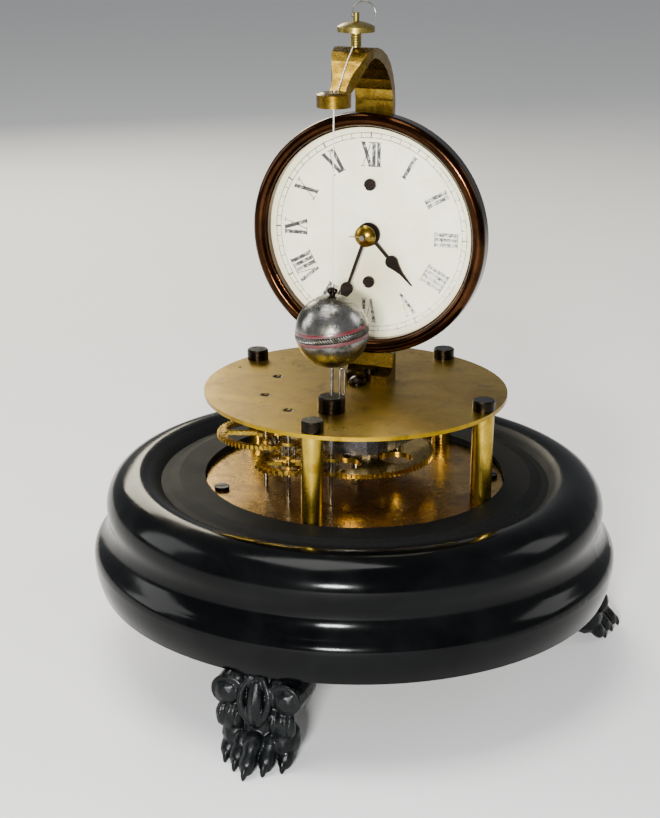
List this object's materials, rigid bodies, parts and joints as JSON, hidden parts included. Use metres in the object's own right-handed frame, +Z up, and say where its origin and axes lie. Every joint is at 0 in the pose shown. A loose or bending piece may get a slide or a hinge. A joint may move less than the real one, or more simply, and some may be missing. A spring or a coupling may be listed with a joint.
{
  "type": "conical pendulum clock",
  "caption": "Antique mantel clock: round ebonised base on paw feet, plated brass movement, paper dial on a strap, and a ball turning as a conical pendulum.",
  "frame": {"origin": "on the axis of the turned base, at floor level under the feet", "axes": "+Z up, the dial faces -Y, +X to the right of a viewer facing the dial"},
  "size_m": [0.1342, 0.1414, 0.1679],
  "materials": {
    "ebonised_wood": "black polished, ebonised",
    "cast_feet": "black cast metal, worn gloss",
    "brass": "aged, brushed",
    "copper_bezel": "dark lacquered, polished",
    "paper": "matte, aged",
    "thread": "fine pale thread",
    "black_hands": "blackened",
    "silvered_ball": "dull silvered",
    "steel": "dark oiled steel"
  },
  "bodies": {
    "frame": {"base": "ebonised_wood", "foot_front": "cast_feet", "foot_right": "cast_feet", "foot_left": "cast_feet", "foot_screws": "steel", "bottom_plate": "brass", "plate_screws": "steel", "pillars": "brass", "top_plate": "brass", "pillar_nuts": "steel", "mainspring": "steel", "bracket": "brass", "bracket_screws": "steel", "back_cock": "brass", "thread_lead": "thread", "dial_pan": "brass", "dial_paper": "paper", "bezel": "copper_bezel", "dial_screws": "steel", "minute_stud": "steel"},
    "great": {"great_wheel": "brass", "winding_arbor": "steel", "arbor_cap": "steel", "ratchet_wheel": "steel", "click_rivets": "steel", "click_spring": "steel"},
    "click_arm": {"click": "steel"},
    "second": {"second_arbor": "steel", "second_shrouds": "brass", "second_wheel": "brass"},
    "third": {"third_arbor": "steel", "third_shrouds": "brass", "third_wheel": "brass"},
    "fourth": {"fourth_arbor": "steel", "fourth_shrouds": "brass", "fourth_wheel": "brass"},
    "rotary": {"rotary_arbor": "steel", "rotary_shrouds": "brass", "crutch_collar": "steel", "crutch_wire": "steel"},
    "drive": {"drive_arbor": "steel", "drive_shrouds": "brass"},
    "minute": {"crown_wheel": "brass", "hand_arbor": "steel", "cannon_pinion": "steel", "minute_hand": "black_hands", "hand_collet": "brass", "taper_pin": "brass"},
    "motion": {"minute_wheel": "brass"},
    "hour": {"hour_wheel": "brass", "hour_hand": "black_hands"},
    "regulator": {"regulator_screw": "brass", "regulator_wire": "steel"},
    "knot": {"thread_knot": "steel"},
    "pendulum": {"suspension_thread": "thread", "ball": "silvered_ball", "ball_band": "silvered_ball", "ball_eye": "steel", "ball_pin": "steel"}
  },
  "joints": [
    {"name": "second_turn", "type": "hinge", "parent": "frame", "child": "second", "pos_m": [-0.02167, 0.00101, 0.06], "axis": [0, 0, 1], "continuous": true},
    {"name": "great_turn", "type": "hinge", "parent": "frame", "child": "great", "pos_m": [-0.0005, 0.0026, 0.06], "axis": [0, 0, 1], "continuous": true},
    {"name": "third_turn", "type": "hinge", "parent": "frame", "child": "third", "pos_m": [-0.0188, -0.0142, 0.06], "axis": [0, 0, 1], "continuous": true},
    {"name": "fourth_turn", "type": "hinge", "parent": "frame", "child": "fourth", "pos_m": [-0.009, -0.0233, 0.06], "axis": [0, 0, 1], "continuous": true},
    {"name": "rotary_turn", "type": "hinge", "parent": "frame", "child": "rotary", "pos_m": [0.00097, -0.02016, 0.06], "axis": [0, 0, 1], "continuous": true},
    {"name": "drive_turn", "type": "hinge", "parent": "frame", "child": "drive", "pos_m": [0.0007, 0.0238, 0.06], "axis": [0, 0, 1], "continuous": true},
    {"name": "minute_turn", "type": "hinge", "parent": "frame", "child": "minute", "pos_m": [0.0007, 0, 0.1102], "axis": [0, 1, 0], "continuous": true},
    {"name": "motion_turn", "type": "hinge", "parent": "frame", "child": "motion", "pos_m": [0.0007, 0, 0.103], "axis": [0, 1, 0], "continuous": true},
    {"name": "hour_turn", "type": "hinge", "parent": "frame", "child": "hour", "pos_m": [0.0007, 0, 0.1102], "axis": [0, 1, 0], "continuous": true},
    {"name": "click_lift", "type": "hinge", "parent": "great", "child": "click_arm", "pos_m": [0.00885, 0.008, 0.06], "axis": [0, 0, 1], "range_deg": [-9, 0], "stiffness_Nm_per_rad": 0.00002, "deforming": ["click_spring"]},
    {"name": "regulator_turn", "type": "hinge", "parent": "frame", "child": "regulator", "pos_m": [0.0009, -0.0053, 0.16], "axis": [0, 0, 1], "range_deg": [-540, 540]},
    {"name": "swing_a", "type": "hinge", "parent": "frame", "child": "knot", "pos_m": [0.00097, -0.02016, 0.14485], "axis": [-0.9063, 0.4226, 0], "range_deg": [-5, 5]},
    {"name": "swing_b", "type": "hinge", "parent": "knot", "child": "pendulum", "pos_m": [0.00097, -0.02016, 0.14485], "axis": [0.4226, 0.9063, 0], "range_deg": [-5, 5]}
  ],
  "couplings": [
    {"joint": "fourth_turn", "follows": "rotary_turn", "ratio": -0.26667},
    {"joint": "third_turn", "follows": "rotary_turn", "ratio": 0.033333},
    {"joint": "second_turn", "follows": "rotary_turn", "ratio": -0.0040404},
    {"joint": "great_turn", "follows": "rotary_turn", "ratio": 0.0003367},
    {"joint": "drive_turn", "follows": "rotary_turn", "ratio": -0.0040404},
    {"joint": "minute_turn", "follows": "rotary_turn", "ratio": 0.00089787},
    {"joint": "motion_turn", "follows": "rotary_turn", "ratio": -0.00029929},
    {"joint": "hour_turn", "follows": "rotary_turn", "ratio": 0.000074822}
  ]
}
